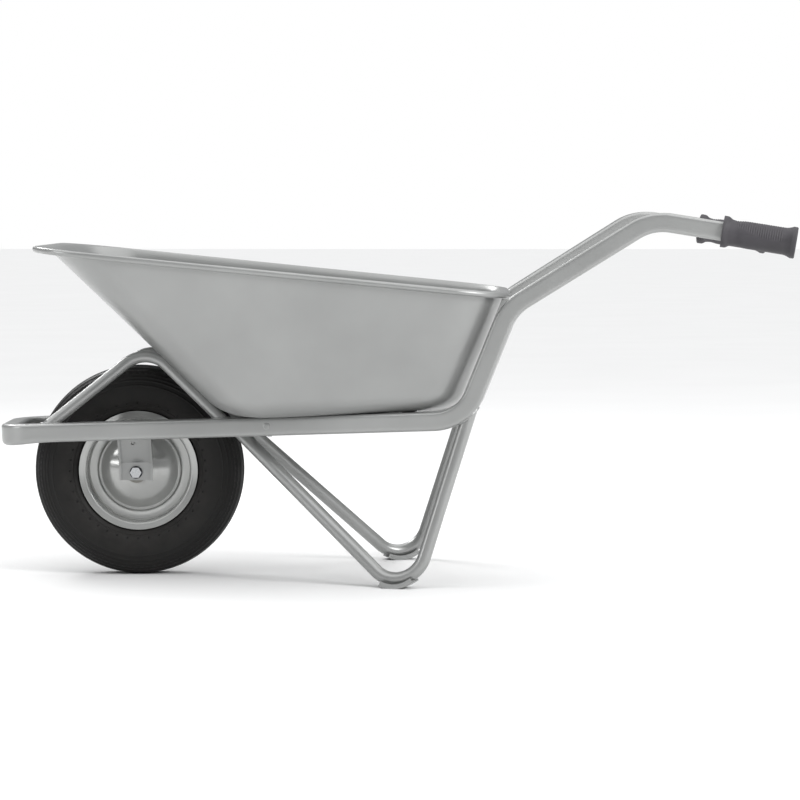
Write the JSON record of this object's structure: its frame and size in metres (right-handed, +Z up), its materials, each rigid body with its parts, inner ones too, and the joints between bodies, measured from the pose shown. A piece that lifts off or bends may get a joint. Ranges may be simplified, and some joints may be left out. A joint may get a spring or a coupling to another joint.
{
  "type": "wheelbarrow",
  "caption": "Single-wheel barrow: bent square-tube frame with rubber grips, pressed tray with rolled rim, V-shaped tube legs, front braces and a free-turning pneumatic wheel.",
  "frame": {"origin": "on the ground, midway along the length and across the width", "axes": "+X towards the handles, +Z up, +Y to the right-hand side of the wheel as seen from the handles"},
  "size_m": [1.4862, 0.6438, 0.6909],
  "materials": {
    "frame_paint": "semi-gloss grey paint",
    "tray_paint": "semi-gloss grey paint",
    "zinc": "bright zinc plate",
    "tyre": "matt black rubber",
    "tube_rubber": "matt black rubber",
    "grip_rubber": "matt dark grey rubber",
    "nylon": "off-white nylon",
    "brass": "bare brass",
    "cap_plastic": "black plastic"
  },
  "bodies": {
    "frame": {"frame_tube": "frame_paint", "leg_left": "frame_paint", "leg_right": "frame_paint", "foot_shoe_left": "frame_paint", "foot_shoe_right": "frame_paint", "front_brace_left": "frame_paint", "front_brace_right": "frame_paint", "wheel_bracket_left": "frame_paint", "wheel_bracket_right": "frame_paint", "cross_bar_front": "frame_paint", "cross_bar_rear": "frame_paint", "leg_bar": "frame_paint", "tray": "tray_paint", "tray_bolts": "zinc", "tray_washers": "zinc", "tray_nuts": "zinc", "grip_left": "grip_rubber", "grip_right": "grip_rubber", "axle_bolt": "zinc", "axle_nut": "zinc", "axle_washers": "zinc", "axle_spacers": "zinc"},
    "wheel": {"bush_left": "nylon", "bush_right": "nylon", "hub_tube": "frame_paint", "rim_left": "frame_paint", "rim_right": "frame_paint", "tyre": "tyre", "inner_tube": "tube_rubber", "valve_stem": "brass", "valve_cap": "cap_plastic"}
  },
  "joints": [
    {"name": "wheel_spin", "type": "hinge", "parent": "frame", "child": "wheel", "pos_m": [-0.4867, 0, 0.2], "axis": [0, 1, 0], "continuous": true}
  ]
}
